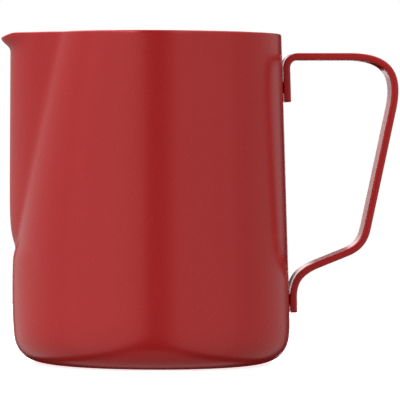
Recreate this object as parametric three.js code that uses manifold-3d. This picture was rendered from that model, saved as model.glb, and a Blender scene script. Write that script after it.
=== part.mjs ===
// Milk frothing pitcher: a drawn steel jug with a pouring spout pressed into its wall, and a handle bent
// from flat strap whose two tabs are spot-welded to the back of the jug.
// Millimetres, +Z up. The origin is the centre of the base; the spout points to -X and the handle to +X.
import * as THREE from 'three';
import { mergeVertices } from 'three/addons/utils/BufferGeometryUtils.js';
import Module from 'manifold-3d';

const wasm = await Module();
wasm.setup();

// ---------- Driving dimensions ----------

// Jug
const HEIGHT = 110;
const RIM_RADIUS = 42.83;         // outside of the wall at the rim
const TAPER = 0.0343;             // radius the wall gains per millimetre downwards
const SHEET = 0.9;                // sheet thickness
const CORNER_HEIGHT = 14.4;       // the rounded bottom corner ends here
const CORNER_FULLNESS = 3.2;      // superellipse exponent of the corner: 2 would be an ellipse
const FOOT_RADIUS = 28.5;         // the flat base ends here
const BEAD_RADII = [19.5, 20.7, 23.7, 24.9];   // stiffening bead pressed up in a ring round the base's centre
const BEAD_RISE = 0.8;

// Spout: a wedge-shaped nose pressed out of the wall, a crease down each side of it, and beyond each crease a
// flank where the wall is pressed in. All of it tapers down to a point at the spout's foot.
const SPOUT_FOOT = 38.6;          // height of that point
const NOSE_RADIUS = 47.64;        // the nose's front line stands upright at this radius
const NOSE_RAMP = 3.9;            // height above the foot in which the nose comes out most of the way
const NOSE_ROUNDING = 0.1;        // of the wedge's front, as a share of the crease's angle
const CREASE_HALF_WIDTH = 23.8;   // from the spout's centre line to a crease, at the rim
const CREASE_SPREAD = 0.52;       // exponent of the crease's curve: below 1 it opens quickly, then stays wide
const CREASE_ROUNDING = 0.23;     // how softly nose and flank meet in it, as a share of the nose's relief
const FLANK_DEPTH = 4.6;          // how far the wall is pressed in at the crease, at the rim
const FLANK_FADE = 1.28;          // exponent with which that dies out towards the foot
const FLANK_POWER = 2;            // exponent with which it dies out away from the crease
const FLANK_ANGLE = THREE.MathUtils.degToRad(50);   // from the crease to where the wall is round again

// Soft swelling of the wall under the spout's foot
const SWELL = 1;
const SWELL_BOTTOM = 11;
const SWELL_FULL = 34.5;
const SWELL_TOP = 41;
const SWELL_HALF_ANGLE = THREE.MathUtils.degToRad(30);

// Pouring lip: the last few millimetres of the nose curl outwards and dip below the rim
const LIP_START = 103.8;
const LIP_FLARE = 3.14;
const LIP_FLARE_HALF_ANGLE = THREE.MathUtils.degToRad(17);
const LIP_DIP = 1.45;
const LIP_DIP_HALF_ANGLE = THREE.MathUtils.degToRad(9.5);

// Handle strap; its bends are given by where the straight runs of its centre line would meet
const STRAP_THICKNESS = 2.3;
const STRAP_WIDTH = 12;
const STRAP_EDGE = 0.4;           // rounding of the strap's long edges
const WALL_GAP = 0.3;             // between a tab and the wall
const UPPER_TAB_END = 87.4;
const UPPER_TAB_CORNER = 102.6;
const GRIP_TOP = [83.7, 102.85];
const GRIP_FOOT = [70.4, 39.5];
const LOWER_TAB_CORNER = 30;
const LOWER_TAB_END = 17.2;
// How far before its corner each bend starts, and how tightly it hugs that corner (0.55 is a circular bend)
const UPPER_TAB_BEND = [4, 0.58];
const GRIP_TOP_BEND = [18, 0.7];
const GRIP_FOOT_BEND = [6.2, 0.72];
const LOWER_TAB_BEND = [8.4, 0.7];

// Spot welds, a pair in each tab: a button of fused metal let into the tab and standing on the wall
const WELD_RADIUS = 2;
const WELD_DEPTH = 1.2;           // of its pocket in the tab
const WELD_CLEARANCE = 0.12;      // around the button, so that the solids stay apart
const WELD_SPACING = 6;           // between the two of a pair
const UPPER_WELD_HEIGHT = 92.2;
const LOWER_WELD_HEIGHT = 21.3;

// Fineness of the faceted surface
const JUG_SEGMENTS = 72;
const SPOUT_CROWDING = 0.45;      // share by which the segments are drawn together at the spout
const CORNER_STEPS = 8;
const WALL_BANDS = [[34, 3], [44, 5], [LIP_START, 6], [HEIGHT, 4]];   // [top of band, rows in it]
const BEND_STEPS = 8;
const STRAP_STEPS = 6;
const WELD_SEGMENTS = 24;

// ---------- Curves that the shapes share ----------

const clamp01 = (t) => THREE.MathUtils.clamp(t, 0, 1);
const wallRadius = (z) => RIM_RADIUS + TAPER * (HEIGHT - z);

// Smooth bump: 1 in the middle, falling to 0 at u = -1 and u = 1
function bump(u) {
  return Math.abs(u) < 1 ? Math.cos((Math.PI / 2) * u) ** 2 : 0;
}

// The larger of two values, with the corner between them rounded where they differ by less than `rounding`
function softMax(a, b, rounding) {
  const overlap = Math.max(rounding - Math.abs(a - b), 0);
  return Math.max(a, b) + overlap ** 2 / (4 * rounding);
}

// 0 at the spout's foot, 1 at the rim
const spoutRise = (z) => clamp01((z - SPOUT_FOOT) / (HEIGHT - SPOUT_FOOT));

// Angle from the spout's centre line to its crease
function creaseAngle(z) {
  return Math.asin((CREASE_HALF_WIDTH * spoutRise(z) ** CREASE_SPREAD) / wallRadius(z));
}

// How far the pressing moves the wall outwards above the spout's foot
function spout(z, angle) {
  const out = (NOSE_RADIUS - wallRadius(z)) * (1 - Math.exp((SPOUT_FOOT - z) / NOSE_RAMP));
  const depth = FLANK_DEPTH * spoutRise(z) ** FLANK_FADE;
  const crease = creaseAngle(z);
  const roundFront = (share) => Math.hypot(share, NOSE_ROUNDING) - NOSE_ROUNDING;
  const relief = out + depth;
  const nose = out - (relief * roundFront(Math.abs(angle) / crease)) / roundFront(1);
  const beyond = Math.min(1, (Math.abs(angle) - crease) / FLANK_ANGLE);
  const flank = -depth * (1 - beyond) ** FLANK_POWER;
  return softMax(nose, flank, CREASE_ROUNDING * relief);
}

// How far the pressing moves the wall outwards, at a height and an angle from the spout's centre line
function pressedOut(z, angle) {
  let offset = swell(z) * bump(angle / SWELL_HALF_ANGLE);
  if (z > SPOUT_FOOT) {
    offset += spout(z, angle);
    offset += LIP_FLARE * lipShare(z) * bump(angle / LIP_FLARE_HALF_ANGLE);
  }
  return offset;
}

function swell(z) {
  const grow = Math.sin((Math.PI / 2) * clamp01((z - SWELL_BOTTOM) / (SWELL_FULL - SWELL_BOTTOM)));
  const fade = THREE.MathUtils.smoothstep(z, SWELL_FULL, SWELL_TOP);
  return SWELL * grow * (1 - fade);
}

// 0 where the lip starts to curl, 1 at its edge
function lipShare(z) {
  return THREE.MathUtils.smoothstep(z, LIP_START, HEIGHT);
}

// ---------- Jug ----------

// Heights of the wall's rows, closer together where the spout bends most
function wallHeights() {
  const heights = [];
  let from = CORNER_HEIGHT;
  for (const [to, rows] of WALL_BANDS) {
    for (let i = 1; i <= rows; i++) {
      heights.push(from + ((to - from) * i) / rows);
    }
    from = to;
  }
  return heights;
}

// One face of the sheet from the base to the rim; the inner face is the outer one moved in by the sheet
function faceProfile(inset) {
  const points = [new THREE.Vector2(0, inset)];
  BEAD_RADII.forEach((radius, i) => {
    const isRaised = i === 1 || i === 2;
    points.push(new THREE.Vector2(radius, inset + (isRaised ? BEAD_RISE : 0)));
  });
  const width = wallRadius(CORNER_HEIGHT) - inset - FOOT_RADIUS;
  const height = CORNER_HEIGHT - inset;
  for (let i = 0; i <= CORNER_STEPS; i++) {
    const turn = ((Math.PI / 2) * i) / CORNER_STEPS;
    const radius = FOOT_RADIUS + width * Math.sin(turn) ** (2 / CORNER_FULLNESS);
    points.push(new THREE.Vector2(radius, CORNER_HEIGHT - height * Math.cos(turn) ** (2 / CORNER_FULLNESS)));
  }
  for (const z of wallHeights()) {
    points.push(new THREE.Vector2(wallRadius(z) - inset, z));
  }
  return points;
}

// Round the rim: both faces stop short of the edge, and one point crowns it
function jugProfile() {
  const rimRound = SHEET / 2;
  const outer = faceProfile(0);
  const inner = faceProfile(SHEET);
  outer.at(-1).y -= rimRound / 2;
  inner.at(-1).y -= rimRound / 2;
  const crown = new THREE.Vector2(RIM_RADIUS - SHEET / 2, HEIGHT);
  return [...outer, crown, ...inner.reverse()];
}

function jugGeometry() {
  const geometry = new THREE.LatheGeometry(jugProfile(), JUG_SEGMENTS);
  geometry.rotateX(Math.PI / 2);
  const position = geometry.getAttribute('position');
  for (let i = 0; i < position.count; i++) {
    const x = position.getX(i);
    const y = position.getY(i);
    const z = position.getZ(i);
    const even = Math.atan2(y, -x);
    const angle = even - SPOUT_CROWDING * Math.sin(even);
    const pressed = Math.hypot(x, y) + pressedOut(z, angle);
    const dip = LIP_DIP * lipShare(z) * bump(angle / LIP_DIP_HALF_ANGLE);
    position.setXYZ(i, -pressed * Math.cos(angle), pressed * Math.sin(angle), z - dip);
  }
  return geometry;
}

// ---------- Handle strap ----------

// Centre line of the strap seen from the side, as straight runs joined by smooth bends
function strapCentreLine() {
  const onWall = (z) => new THREE.Vector2(wallRadius(z) + WALL_GAP + STRAP_THICKNESS / 2, z);
  const corners = [
    { at: onWall(UPPER_TAB_CORNER), bend: UPPER_TAB_BEND },
    { at: new THREE.Vector2(...GRIP_TOP), bend: GRIP_TOP_BEND },
    { at: new THREE.Vector2(...GRIP_FOOT), bend: GRIP_FOOT_BEND },
    { at: onWall(LOWER_TAB_CORNER), bend: LOWER_TAB_BEND },
  ];
  const path = new THREE.CurvePath();
  const end = onWall(LOWER_TAB_END);
  let start = onWall(UPPER_TAB_END);
  corners.forEach(({ at, bend: [reach, hug] }, i) => {
    const next = i + 1 < corners.length ? corners[i + 1].at : end;
    const back = start.clone().sub(at).setLength(reach);
    const on = next.clone().sub(at).setLength(reach);
    const bendStart = at.clone().add(back);
    const bendEnd = at.clone().add(on);
    const pullIn = at.clone().addScaledVector(back, 1 - hug);
    const pullOut = at.clone().addScaledVector(on, 1 - hug);
    path.add(new THREE.LineCurve(start, bendStart));
    path.add(new THREE.CubicBezierCurve(bendStart, pullIn, pullOut, bendEnd));
    start = bendEnd;
  });
  path.add(new THREE.LineCurve(start, end));
  return path;
}

// Outline of the strap's edge: the centre line moved half a thickness to each side
function strapShape() {
  const outside = [];
  const inside = [];
  const centre = strapCentreLine();
  centre.curves.forEach((curve, i) => {
    const isBend = curve instanceof THREE.CubicBezierCurve;
    const isLast = i === centre.curves.length - 1;
    const steps = isBend ? BEND_STEPS : 1;
    for (let step = 0; step < steps + (isLast ? 1 : 0); step++) {
      const point = curve.getPoint(step / steps);
      const tangent = curve.getTangent(step / steps);
      const side = new THREE.Vector2(-tangent.y, tangent.x).multiplyScalar(STRAP_THICKNESS / 2);
      outside.push(point.clone().add(side));
      inside.push(point.clone().sub(side));
    }
  });
  return new THREE.Shape([...outside, ...inside.reverse()]);
}

// The tabs are dished across their width to lie on the round wall; the dish runs out where the strap leaves it
function dishTabs(geometry) {
  const onWall = WALL_GAP + STRAP_THICKNESS;
  const position = geometry.getAttribute('position');
  for (let i = 0; i < position.count; i++) {
    const radius = wallRadius(position.getZ(i));
    const y = position.getY(i);
    const away = position.getX(i) - radius;
    const share = 1 - THREE.MathUtils.smoothstep(away, onWall + 0.2, onWall * 3);
    const sag = radius - Math.sqrt(radius ** 2 - y ** 2);
    position.setX(i, position.getX(i) - sag * share);
  }
}

function strapGeometry() {
  const geometry = new THREE.ExtrudeGeometry(strapShape(), {
    depth: STRAP_WIDTH - 2 * STRAP_EDGE,
    steps: STRAP_STEPS,
    bevelThickness: STRAP_EDGE,
    bevelSize: STRAP_EDGE,
    bevelOffset: -STRAP_EDGE,
    bevelSegments: 2,
  });
  geometry.translate(0, 0, STRAP_EDGE - STRAP_WIDTH / 2);
  geometry.rotateX(Math.PI / 2);
  dishTabs(geometry);
  const pockets = weldPlaces().map((place) => {
    const depth = WELD_DEPTH + WALL_GAP;
    return placedOnWall(weldDisc(WELD_RADIUS + WELD_CLEARANCE, depth), place, depth / 2);
  });
  return cut(geometry, pockets);
}

// ---------- Spot welds ----------

function weldPlaces() {
  const places = [];
  for (const [tab, height] of [['upper', UPPER_WELD_HEIGHT], ['lower', LOWER_WELD_HEIGHT]]) {
    for (const [side, sign] of [['left', 1], ['right', -1]]) {
      const angle = Math.asin((sign * WELD_SPACING) / 2 / wallRadius(height));
      places.push({ name: `${tab}_weld_${side}`, height, angle });
    }
  }
  return places;
}

function weldDisc(radius, length) {
  return new THREE.CylinderGeometry(radius, radius, length, WELD_SEGMENTS);
}

// Turn a disc so that its axis stands square on the wall, and move its middle out from the wall by `away`
function placedOnWall(geometry, { height, angle }, away) {
  const out = new THREE.Vector3(Math.cos(angle), Math.sin(angle), TAPER).normalize();
  const radius = wallRadius(height);
  const foot = new THREE.Vector3(radius * Math.cos(angle), radius * Math.sin(angle), height);
  const turn = new THREE.Quaternion().setFromUnitVectors(new THREE.Vector3(0, 1, 0), out);
  geometry.applyQuaternion(turn);
  const middle = foot.addScaledVector(out, away);
  return geometry.translate(middle.x, middle.y, middle.z);
}

function weldGeometry(place) {
  const depth = WELD_DEPTH + WALL_GAP;
  return placedOnWall(weldDisc(WELD_RADIUS, depth - 2 * WELD_CLEARANCE), place, depth / 2);
}

// ---------- Cutting ----------

function toSolid(geometry) {
  const bare = geometry.clone();
  bare.deleteAttribute('normal');
  bare.deleteAttribute('uv');
  const merged = mergeVertices(bare, 1e-4);
  const vertProperties = new Float32Array(merged.getAttribute('position').array);
  const triVerts = new Uint32Array(merged.index.array);
  return new wasm.Manifold(new wasm.Mesh({ numProp: 3, vertProperties, triVerts }));
}

function cut(geometry, tools) {
  const solid = tools.reduce((rest, tool) => rest.subtract(toSolid(tool)), toSolid(geometry));
  const mesh = solid.getMesh();
  const result = new THREE.BufferGeometry();
  result.setAttribute('position', new THREE.BufferAttribute(mesh.vertProperties, 3));
  result.setIndex(new THREE.BufferAttribute(mesh.triVerts, 1));
  result.computeVertexNormals();
  return result;
}

// ---------- Assembly ----------

function part(name, geometry, material) {
  const mesh = new THREE.Mesh(geometry, material);
  mesh.name = name;
  return mesh;
}

const redCoat = () => new THREE.MeshStandardMaterial({ color: 0xb03236, roughness: 0.35, metalness: 0.2 });
const weldSteel = () => new THREE.MeshStandardMaterial({ color: 0x8f9093, roughness: 0.5, metalness: 1 });

const pitcher = new THREE.Group();
pitcher.add(part('pitcher_body', jugGeometry(), redCoat()));
pitcher.add(part('handle_strap', strapGeometry(), redCoat()));
for (const place of weldPlaces()) {
  pitcher.add(part(place.name, weldGeometry(place), weldSteel()));
}

export default pitcher;
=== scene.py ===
"""Milk frothing pitcher: a satin red steel jug with a pressed spout and a bent strap handle."""
import math

import bmesh
import bpy
from mathutils import Matrix, Vector


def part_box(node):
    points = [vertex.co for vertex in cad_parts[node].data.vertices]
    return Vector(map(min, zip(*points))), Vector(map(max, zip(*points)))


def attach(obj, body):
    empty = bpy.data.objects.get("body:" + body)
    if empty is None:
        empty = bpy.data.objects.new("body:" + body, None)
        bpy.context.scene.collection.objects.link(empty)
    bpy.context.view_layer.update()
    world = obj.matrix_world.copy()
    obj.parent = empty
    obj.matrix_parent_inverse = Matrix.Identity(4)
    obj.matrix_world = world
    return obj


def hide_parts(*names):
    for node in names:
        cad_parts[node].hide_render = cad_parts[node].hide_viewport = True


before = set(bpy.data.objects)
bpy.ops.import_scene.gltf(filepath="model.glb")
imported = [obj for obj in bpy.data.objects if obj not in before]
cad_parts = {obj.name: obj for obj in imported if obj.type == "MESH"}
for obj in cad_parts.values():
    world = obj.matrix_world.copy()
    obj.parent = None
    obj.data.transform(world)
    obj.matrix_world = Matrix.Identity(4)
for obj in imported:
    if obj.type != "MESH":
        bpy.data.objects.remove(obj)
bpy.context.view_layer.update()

# ---------- Driving dimensions ----------
# Everything is stated in millimetres of a jug 110 mm tall, and scaled to the jug that the frame holds.

JUG_LOW, JUG_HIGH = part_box("pitcher_body")
HEIGHT = 110.0
MM = (JUG_HIGH.z - JUG_LOW.z) / HEIGHT

# Jug
RIM_RADIUS = 42.83
TAPER = 0.0343
SHEET = 0.9
CORNER_HEIGHT = 14.4
CORNER_FULLNESS = 3.2
FOOT_RADIUS = 28.5
BEAD_INNER_RADIUS = 19.5
BEAD_OUTER_RADIUS = 24.9
BEAD_FLANK = 1.6
BEAD_RISE = 0.8

# Spout: a wedge-shaped nose pressed out of the wall, a crease down each side of it, and beyond each crease
# a pressed-in flank. All of it tapers down to a point at the spout's foot.
SPOUT_FOOT = 38.6
NOSE_RADIUS = 47.64
NOSE_RAMP = 3.9
NOSE_ROUNDING = 0.1
CREASE_HALF_WIDTH = 23.8
CREASE_SPREAD = 0.52
CREASE_ROUNDING = 0.23
FLANK_DEPTH = 4.6
FLANK_FADE = 1.28
FLANK_POWER = 2.0
FLANK_ANGLE = math.radians(50)
SWELL = 1.0
SWELL_BOTTOM = 11.0
SWELL_FULL = 34.5
SWELL_TOP = 41.0
SWELL_HALF_ANGLE = math.radians(30)
LIP_START = 103.8
LIP_FLARE = 3.14
LIP_FLARE_HALF_ANGLE = math.radians(17)
LIP_DIP = 1.45
LIP_DIP_HALF_ANGLE = math.radians(9.5)

# Handle
STRAP_THICKNESS = 2.3
STRAP_WIDTH = 12.0
STRAP_EDGE = 0.45
WALL_GAP = 0.3
UPPER_TAB_END = 87.4
UPPER_TAB_CORNER = 102.6
GRIP_TOP = (83.7, 102.85)
GRIP_FOOT = (70.4, 39.5)
LOWER_TAB_CORNER = 30.0
LOWER_TAB_END = 17.2
# Bends: how far before and after its corner each starts, and how tightly it follows the corner
UPPER_TAB_BEND = (4.0, 0.58)
GRIP_TOP_BEND = (18.0, 0.7)
GRIP_FOOT_BEND = (6.2, 0.72)
LOWER_TAB_BEND = (8.4, 0.7)

# Fineness of the meshes
JUG_SEGMENTS = 256
SPOUT_CROWDING = 0.5
BEAD_STEPS = 20
CORNER_STEPS = 24
WALL_STEPS = 96
RIM_STEPS = 6
BEND_STEPS = 24
RUN_STEPS = 14

# Camera: a long lens, level but for a slight roll, its picture shifted to frame the jug
CAMERA_AZIMUTH = math.radians(-3.8)
CAMERA_ROLL = 0.0051
CAMERA_DISTANCE = 1141.0
CAMERA_HEIGHT = 76.0
CAMERA_SENSOR = 36.0
CAMERA_LENS = 307.4
CAMERA_SHIFT = (0.1184, -0.1609)
RIGHT = Vector((math.cos(CAMERA_AZIMUTH), math.sin(CAMERA_AZIMUTH), 0))
TOWARD_CAMERA = Vector((math.sin(CAMERA_AZIMUTH), -math.cos(CAMERA_AZIMUTH), 0))

# Softboxes as the jug sees them, in degrees: azimuth from and to, counted from the camera to its right, pitch
# from and to, and strength. Pitch is the elevation seen along the camera's direction, so that an edge of
# constant pitch is a level line beside the jug. The third is the dim gap round the camera, the unlit gaps near
# +-160 draw the jug's dark outline, and the last two are the lit backdrop.
SOFTBOXES = (
    (-157, -75, -51, 40, 0.6),
    (-75, -4, -51, 40, 0.77),
    (-4, 17, -51, 40, 0.2),
    (17, 75, -51, 40, 0.63),
    (75, 149, -51, 40, 0.42),
    (-160, -18, 40, 75, 3.3),
    (18, 150, 40, 75, 1.9),
    (-181, -169, -51, 75, 2.0),
    (169, 181, -51, 75, 2.0),
)
SOFTBOX_EDGE = math.radians(2)
# The lit table under the jug, as a sheet that reaches up to this pitch and this elevation
SHEET_PITCH = (-95, -66)
SHEET_ELEVATION = (-95, -38)
SHEET_STRENGTH = 0.4
FLOOR_RADII = (20, 60, 120, 250, 400)
FLOOR_SEGMENTS = 48
FLOOR_DROP = 0.02
FLOOR_GLOW = 0.8


# ---------- Curves that the shapes share ----------

def clamp01(t):
    return min(1.0, max(0.0, t))


def smoothstep(t, low, high):
    share = clamp01((t - low) / (high - low))
    return share * share * (3 - 2 * share)


def bump(u):
    """1 in the middle, falling smoothly to 0 at u = -1 and u = 1."""
    return math.cos(math.pi / 2 * u) ** 2 if abs(u) < 1 else 0.0


def soft_max(a, b, rounding):
    """The larger of two values, with the corner rounded where they differ by less than `rounding`."""
    overlap = max(rounding - abs(a - b), 0.0)
    return max(a, b) + overlap ** 2 / (4 * rounding)


def wall_radius(z):
    return RIM_RADIUS + TAPER * (HEIGHT - z)


def spout_rise(z):
    return clamp01((z - SPOUT_FOOT) / (HEIGHT - SPOUT_FOOT))


def crease_angle(z):
    """Angle from the spout's centre line to its crease."""
    return math.asin(CREASE_HALF_WIDTH * spout_rise(z) ** CREASE_SPREAD / wall_radius(z))


def spout(z, angle):
    """A wedge-shaped nose pressed out, a crease beside it, and a flank pressed in beyond the crease."""
    out = (NOSE_RADIUS - wall_radius(z)) * (1 - math.exp((SPOUT_FOOT - z) / NOSE_RAMP))
    depth = FLANK_DEPTH * spout_rise(z) ** FLANK_FADE
    crease = crease_angle(z)
    front = math.hypot(angle / crease, NOSE_ROUNDING) - NOSE_ROUNDING
    front_at_crease = math.hypot(1, NOSE_ROUNDING) - NOSE_ROUNDING
    relief = out + depth
    nose = out - relief * front / front_at_crease
    beyond = min(1.0, (abs(angle) - crease) / FLANK_ANGLE)
    flank = -depth * (1 - beyond) ** FLANK_POWER
    return soft_max(nose, flank, CREASE_ROUNDING * relief)


def lip_share(z):
    """0 where the lip starts to curl, 1 at its edge."""
    return smoothstep(z, LIP_START, HEIGHT)


def swell(z):
    grow = math.sin(math.pi / 2 * clamp01((z - SWELL_BOTTOM) / (SWELL_FULL - SWELL_BOTTOM)))
    return SWELL * grow * (1 - smoothstep(z, SWELL_FULL, SWELL_TOP))


def pressed_out(z, angle):
    """How far the pressing moves the wall outwards, at a height and an angle from the spout's centre line."""
    offset = swell(z) * bump(angle / SWELL_HALF_ANGLE)
    if z <= SPOUT_FOOT:
        return offset
    return offset + spout(z, angle) + LIP_FLARE * lip_share(z) * bump(angle / LIP_FLARE_HALF_ANGLE)


# ---------- Mesh helpers ----------

def add_object(name, bm):
    bmesh.ops.recalc_face_normals(bm, faces=bm.faces)
    mesh = bpy.data.meshes.new(name)
    bm.to_mesh(mesh)
    bm.free()
    mesh.shade_smooth()
    obj = bpy.data.objects.new(name, mesh)
    bpy.context.scene.collection.objects.link(obj)
    return obj


def skin_rings(bm, rings, closed=True):
    """Quads between neighbouring rings of points; each ring closes on itself."""
    loops = [[bm.verts.new(Vector(p) * MM) for p in ring] for ring in rings]
    count = len(loops[0])
    for low, high in zip(loops, loops[1:]):
        for i in range(count):
            j = (i + 1) % count
            bm.faces.new((low[i], low[j], high[j], high[i]))
    return loops


# ---------- Jug ----------

def base_profile(inset):
    """The flat base with its pressed-up bead, from the axis outwards."""
    points = [(radius, inset) for radius in (2.0, 6.0, 11.0, 15.5, 18.5)]
    for i in range(BEAD_STEPS + 1):
        radius = BEAD_INNER_RADIUS + (BEAD_OUTER_RADIUS - BEAD_INNER_RADIUS) * i / BEAD_STEPS
        rise = smoothstep(radius, BEAD_INNER_RADIUS, BEAD_INNER_RADIUS + BEAD_FLANK)
        fall = smoothstep(radius, BEAD_OUTER_RADIUS - BEAD_FLANK, BEAD_OUTER_RADIUS)
        points.append((radius, inset + BEAD_RISE * rise * (1 - fall)))
    points += [(radius, inset) for radius in (25.8, 27.2)]
    return points


def face_profile(inset):
    """One face of the sheet from the base to just under the rim."""
    points = base_profile(inset)
    width = wall_radius(CORNER_HEIGHT) - inset - FOOT_RADIUS
    power = 2 / CORNER_FULLNESS
    for i in range(CORNER_STEPS + 1):
        turn = math.pi / 2 * i / CORNER_STEPS
        radius = FOOT_RADIUS + width * math.sin(turn) ** power
        points.append((radius, CORNER_HEIGHT - (CORNER_HEIGHT - inset) * max(0.0, math.cos(turn)) ** power))
    top = HEIGHT - SHEET / 2
    for i in range(1, WALL_STEPS + 1):
        z = CORNER_HEIGHT + (top - CORNER_HEIGHT) * i / WALL_STEPS
        points.append((wall_radius(z) - inset, z))
    return points


def jug_profile():
    """Outer face, half-round rim, and the inner face back down to the axis."""
    rim = []
    for i in range(1, RIM_STEPS):
        turn = math.pi * i / RIM_STEPS
        radius = wall_radius(HEIGHT) - SHEET / 2 + SHEET / 2 * math.cos(turn)
        rim.append((radius, HEIGHT - SHEET / 2 + SHEET / 2 * math.sin(turn)))
    return face_profile(0.0) + rim + face_profile(SHEET)[::-1]


def jug_point(radius, z, segment):
    even = 2 * math.pi * segment / JUG_SEGMENTS
    angle = even - SPOUT_CROWDING * math.sin(even)
    signed = math.remainder(angle, 2 * math.pi)
    pressed = radius + pressed_out(z, signed)
    dip = LIP_DIP * lip_share(z) * bump(signed / LIP_DIP_HALF_ANGLE)
    return (-pressed * math.cos(angle), pressed * math.sin(angle), z - dip)


def build_jug():
    bm = bmesh.new()
    rings = []
    for radius, z in jug_profile():
        rings.append([jug_point(radius, z, i) for i in range(JUG_SEGMENTS)])
    loops = skin_rings(bm, rings)
    for loop, height in ((loops[0], 0.0), (loops[-1], SHEET)):
        hub = bm.verts.new((0, 0, height * MM))
        for i, vert in enumerate(loop):
            bm.faces.new((hub, vert, loop[(i + 1) % len(loop)]))
    return add_object("jug", bm)


# ---------- Handle strap ----------

def on_wall(z):
    """Where the strap's centre line lies when the strap rests on the wall."""
    return Vector((wall_radius(z) + WALL_GAP + STRAP_THICKNESS / 2, z))


def strap_centre_line():
    """Points and directions along the strap: straight runs joined by smooth bends."""
    corners = (
        (on_wall(UPPER_TAB_CORNER), UPPER_TAB_BEND),
        (Vector(GRIP_TOP), GRIP_TOP_BEND),
        (Vector(GRIP_FOOT), GRIP_FOOT_BEND),
        (on_wall(LOWER_TAB_CORNER), LOWER_TAB_BEND),
    )
    ends = [corner for corner, _ in corners[1:]] + [on_wall(LOWER_TAB_END)]
    line = []
    start = on_wall(UPPER_TAB_END)
    for (corner, (reach, hug)), following in zip(corners, ends):
        back = (start - corner).normalized() * reach
        on = (following - corner).normalized() * reach
        line += straight_run(start, corner + back)
        line += smooth_bend(corner, back, on, hug)
        start = corner + on
    line += straight_run(start, ends[-1])
    line.append((ends[-1], (ends[-1] - start).normalized()))
    return line


def straight_run(start, end):
    direction = (end - start).normalized()
    return [(start.lerp(end, i / RUN_STEPS), direction) for i in range(RUN_STEPS)]


def smooth_bend(corner, back, on, hug):
    """Cubic curve from one run to the next; hug is how tightly it follows the corner."""
    points = (back, back * (1 - hug), on * (1 - hug), on)
    bend = []
    for i in range(BEND_STEPS):
        t = i / BEND_STEPS
        s = 1 - t
        weights = (s ** 3, 3 * s * s * t, 3 * s * t * t, t ** 3)
        place = sum((p * w for p, w in zip(points, weights)), corner.copy())
        slopes = (s * s, 2 * s * t, t * t)
        steps = [b - a for a, b in zip(points, points[1:])]
        direction = sum((p * w for p, w in zip(steps, slopes)), Vector((0, 0)))
        bend.append((place, direction.normalized()))
    return bend


def strap_section(shrink):
    """Rounded rectangle as (across the width, across the thickness), drawn in by `shrink`."""
    half_width = STRAP_WIDTH / 2 - shrink
    half_thick = STRAP_THICKNESS / 2 - shrink
    edge = max(STRAP_EDGE - shrink, 0.05)
    section = []
    for corner in range(4):
        sign_w = (1, -1, -1, 1)[corner]
        sign_t = (1, 1, -1, -1)[corner]
        for i in range(6):
            turn = math.pi / 2 * (corner + i / 5)
            section.append((sign_w * (half_width - edge) + edge * math.cos(turn),
                            sign_t * (half_thick - edge) + edge * math.sin(turn)))
        if corner in (0, 2):
            for i in range(1, 12):
                section.append((sign_w * (half_width - edge) * (1 - i / 6), sign_t * half_thick))
    return section


def dished(x, y, z):
    """Bend a tab's width round the wall; the dish runs out where the strap leaves it."""
    radius = wall_radius(z)
    on_wall_reach = WALL_GAP + STRAP_THICKNESS
    share = 1 - smoothstep(x - radius, on_wall_reach + 0.2, on_wall_reach * 3)
    sag = radius - math.sqrt(radius ** 2 - y ** 2)
    return (x - sag * share, y, z)


def strap_ring(place, direction, shrink, along):
    """One section of the strap, moved `along` its own direction."""
    side = Vector((-direction.y, direction.x))
    centre = place + direction * along
    ring = []
    for width, thick in strap_section(shrink):
        spot = centre + side * thick
        ring.append(dished(spot.x, width, spot.y))
    return ring


def build_handle():
    line = strap_centre_line()
    rings = []
    round_end = ((0.32, 0.0), (0.12, 0.08), (0.0, 0.3))
    for shrink, along in round_end:
        rings.append(strap_ring(*line[0], shrink, along))
    rings += [strap_ring(place, direction, 0.0, 0.0) for place, direction in line[1:-1]]
    for shrink, along in reversed(round_end):
        rings.append(strap_ring(*line[-1], shrink, -along))
    bm = bmesh.new()
    loops = skin_rings(bm, rings)
    for loop in (loops[0], loops[-1]):
        bm.faces.new(loop)
    return add_object("handle", bm)


# ---------- Materials ----------

class Nodes:
    """Short ways to add and join the nodes of one material."""

    def __init__(self, name):
        self.material = bpy.data.materials.new(name)
        self.material.use_nodes = True
        self.tree = self.material.node_tree
        self.shader = self.tree.nodes["Principled BSDF"]

    def add(self, kind, **settings):
        node = self.tree.nodes.new(kind)
        for key, value in settings.items():
            if key in node.inputs:
                node.inputs[key].default_value = value
            else:
                setattr(node, key, value)
        return node

    def join(self, source, target):
        self.tree.links.new(source, target)

    def noise(self, coords, scale, detail, roughness=0.5):
        node = self.add("ShaderNodeTexNoise")
        node.inputs["Scale"].default_value = scale
        node.inputs["Detail"].default_value = detail
        node.inputs["Roughness"].default_value = roughness
        self.join(coords, node.inputs["Vector"])
        return node.outputs["Fac"]

    def remap(self, source, low, high, to_low, to_high):
        node = self.add("ShaderNodeMapRange")
        for key, value in (("From Min", low), ("From Max", high), ("To Min", to_low), ("To Max", to_high)):
            node.inputs[key].default_value = value
        self.join(source, node.inputs["Value"])
        return node.outputs["Result"]


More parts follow.
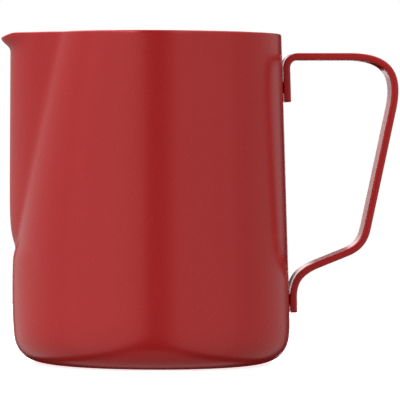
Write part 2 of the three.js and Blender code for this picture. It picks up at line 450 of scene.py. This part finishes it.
def red_coat():
    """Baked red coat on steel: a satin layer, a little metallic, with a fine, slightly uneven skin."""
    m = Nodes("red_coat")
    coords = m.add("ShaderNodeTexCoord").outputs["Object"]
    millimetre = 1 / MM

    cloud = m.noise(coords, 0.035 * millimetre, 2.0)
    tint = m.add("ShaderNodeMix", data_type="RGBA")
    tint.inputs["A"].default_value = (0.485, 0.0175, 0.0168, 1)
    tint.inputs["B"].default_value = (0.510, 0.0190, 0.0182, 1)
    m.join(cloud, tint.inputs["Factor"])
    m.join(tint.outputs["Result"], m.shader.inputs["Base Color"])

    fine = m.noise(coords, 2.2 * millimetre, 3.0)
    m.join(m.remap(fine, 0.3, 0.7, 0.22, 0.28), m.shader.inputs["Roughness"])

    peel = m.noise(coords, 1.1 * millimetre, 2.0)
    skin = m.add("ShaderNodeBump")
    skin.inputs["Strength"].default_value = 0.12
    skin.inputs["Distance"].default_value = 0.006 * MM
    m.join(peel, skin.inputs["Height"])
    m.join(skin.outputs["Normal"], m.shader.inputs["Normal"])

    m.shader.inputs["Metallic"].default_value = 0.15
    return m.material


def weld_steel():
    """Fused stainless steel: dull grey, drawn out in fine streaks and faintly straw-coloured by the heat."""
    m = Nodes("weld_steel")
    coords = m.add("ShaderNodeTexCoord").outputs["Object"]
    heat = m.noise(coords, 0.6 / MM, 3.0)
    tint = m.add("ShaderNodeValToRGB")
    tint.color_ramp.elements[0].color = (0.20, 0.19, 0.18, 1)
    tint.color_ramp.elements[0].position = 0.35
    tint.color_ramp.elements[1].color = (0.36, 0.33, 0.28, 1)
    tint.color_ramp.elements[1].position = 0.7
    m.join(heat, tint.inputs["Fac"])
    m.join(tint.outputs["Color"], m.shader.inputs["Base Color"])
    grain = m.noise(coords, 4.0 / MM, 4.0)
    m.join(m.remap(grain, 0.3, 0.7, 0.4, 0.6), m.shader.inputs["Roughness"])
    rough = m.add("ShaderNodeBump")
    rough.inputs["Strength"].default_value = 0.4
    rough.inputs["Distance"].default_value = 0.03 * MM
    m.join(grain, rough.inputs["Height"])
    m.join(rough.outputs["Normal"], m.shader.inputs["Normal"])
    m.shader.inputs["Metallic"].default_value = 1.0
    return m.material


def pale_floor():
    """White matt table, bright enough for the camera to see it as white as the studio behind it."""
    m = Nodes("pale_floor")
    coords = m.add("ShaderNodeTexCoord").outputs["Object"]
    speck = m.noise(coords, 6.0, 3.0)
    m.join(m.remap(speck, 0.3, 0.7, 0.86, 0.9), m.shader.inputs["Base Color"])
    m.shader.inputs["Roughness"].default_value = 0.8
    m.shader.inputs["Emission Color"].default_value = (1, 1, 1, 1)
    m.shader.inputs["Emission Strength"].default_value = FLOOR_GLOW
    return m.material


# ---------- Put the object together ----------

coat = red_coat()
steel = weld_steel()

jug = build_jug()
jug.data.materials.append(coat)
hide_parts("pitcher_body")

handle = build_handle()
handle.data.materials.append(coat)
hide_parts("handle_strap")

for piece in (jug, handle):
    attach(piece, "root")

for name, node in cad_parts.items():
    if "_weld_" in name:
        node.data.materials.clear()
        node.data.materials.append(steel)


# ---------- Stage ----------

def add_floor():
    """A plain table. It is left out of reflections, where the sheet of light under the jug stands for it."""
    turns = [2 * math.pi * i / FLOOR_SEGMENTS for i in range(FLOOR_SEGMENTS)]
    rings = []
    for radius in FLOOR_RADII:
        rings.append([(radius * math.cos(turn), radius * math.sin(turn), -FLOOR_DROP) for turn in turns])
    bm = bmesh.new()
    loops = skin_rings(bm, rings)
    bm.faces.new(loops[0])
    floor = add_object("floor", bm)
    floor.data.materials.append(pale_floor())
    floor.visible_diffuse = False
    floor.visible_glossy = False
    floor.visible_shadow = False


class WorldNodes:
    """Short ways to add and join the nodes of the world."""

    def __init__(self, name):
        self.world = bpy.data.worlds.new(name)
        self.world.use_nodes = True
        self.tree = self.world.node_tree

    def add(self, kind, **settings):
        new = self.tree.nodes.new(kind)
        for key, value in settings.items():
            setattr(new, key, value)
        return new

    def join(self, source, target):
        self.tree.links.new(source, target)

    def math(self, operation, *values):
        new = self.add("ShaderNodeMath", operation=operation)
        for socket, value in zip(new.inputs, values):
            if isinstance(value, (int, float)):
                socket.default_value = value
            else:
                self.join(value, socket)
        return new.outputs[0]

    def window(self, angle, start, end):
        """1 between two angles given in degrees, falling to 0 across a soft edge at each."""
        centre = math.radians((start + end) / 2)
        half_width = math.radians((end - start) / 2)
        away = self.math("ABSOLUTE", self.math("SUBTRACT", angle, centre))
        fall = self.add("ShaderNodeMapRange", interpolation_type="SMOOTHSTEP")
        fall.inputs["From Min"].default_value = half_width - SOFTBOX_EDGE
        fall.inputs["From Max"].default_value = half_width + SOFTBOX_EDGE
        fall.inputs["To Min"].default_value = 1.0
        fall.inputs["To Max"].default_value = 0.0
        self.join(away, fall.inputs["Value"])
        return fall.outputs["Result"]

    def box(self, across, upright, strength):
        return self.math("MULTIPLY", self.math("MULTIPLY", across, upright), strength)

    def directions(self):
        """Azimuth, pitch and elevation of a ray, in radians, as SOFTBOXES counts them."""
        turned = self.add("ShaderNodeVectorRotate", rotation_type="Z_AXIS")
        turned.inputs["Angle"].default_value = -CAMERA_AZIMUTH
        self.join(self.add("ShaderNodeTexCoord").outputs["Generated"], turned.inputs["Vector"])
        split = self.add("ShaderNodeSeparateXYZ")
        self.join(turned.outputs["Vector"], split.inputs["Vector"])
        right, away, up = (split.outputs[axis] for axis in "XYZ")
        azimuth = self.math("ARCTAN2", right, self.math("MULTIPLY", away, -1.0))
        pitch = self.math("ARCTAN2", up, self.math("ABSOLUTE", right))
        elevation = self.math("ARCSINE", up)
        return azimuth, pitch, elevation


def add_studio():
    """Two wide softboxes bent round the jug, drawn on the world so that their reflections are free of noise.
    The camera itself sees plain white."""
    w = WorldNodes("studio")
    azimuth, pitch, elevation = w.directions()
    light = w.box(w.window(pitch, *SHEET_PITCH), w.window(elevation, *SHEET_ELEVATION), SHEET_STRENGTH)
    for left, right, low, high, strength in SOFTBOXES:
        softbox = w.box(w.window(azimuth, left, right), w.window(pitch, low, high), strength)
        light = w.math("ADD", light, softbox)

    studio = w.tree.nodes["Background"]
    studio.inputs["Color"].default_value = (1, 1, 1, 1)
    w.join(light, studio.inputs["Strength"])
    white = w.add("ShaderNodeBackground")
    white.inputs["Color"].default_value = (1, 1, 1, 1)
    mix = w.add("ShaderNodeMixShader")
    w.join(w.add("ShaderNodeLightPath").outputs["Is Camera Ray"], mix.inputs["Fac"])
    w.join(studio.outputs["Background"], mix.inputs[1])
    w.join(white.outputs["Background"], mix.inputs[2])
    w.join(mix.outputs["Shader"], w.tree.nodes["World Output"].inputs["Surface"])
    bpy.context.scene.world = w.world


def add_camera():
    camera = bpy.data.cameras.new("camera")
    camera.sensor_width = CAMERA_SENSOR
    camera.lens = CAMERA_LENS
    camera.shift_x, camera.shift_y = CAMERA_SHIFT
    camera.clip_end = 20
    obj = bpy.data.objects.new("camera", camera)
    up = Vector((0, 0, 1))
    right = RIGHT * math.cos(CAMERA_ROLL) + up * math.sin(CAMERA_ROLL)
    columns = Matrix((right, TOWARD_CAMERA.cross(right), TOWARD_CAMERA)).transposed()
    place = (TOWARD_CAMERA * CAMERA_DISTANCE + up * CAMERA_HEIGHT) * MM
    obj.matrix_world = Matrix.Translation(place) @ columns.to_4x4()
    bpy.context.scene.collection.objects.link(obj)
    bpy.context.scene.camera = obj


add_floor()
add_studio()
add_camera()
bpy.context.scene.view_settings.view_transform = "Standard"
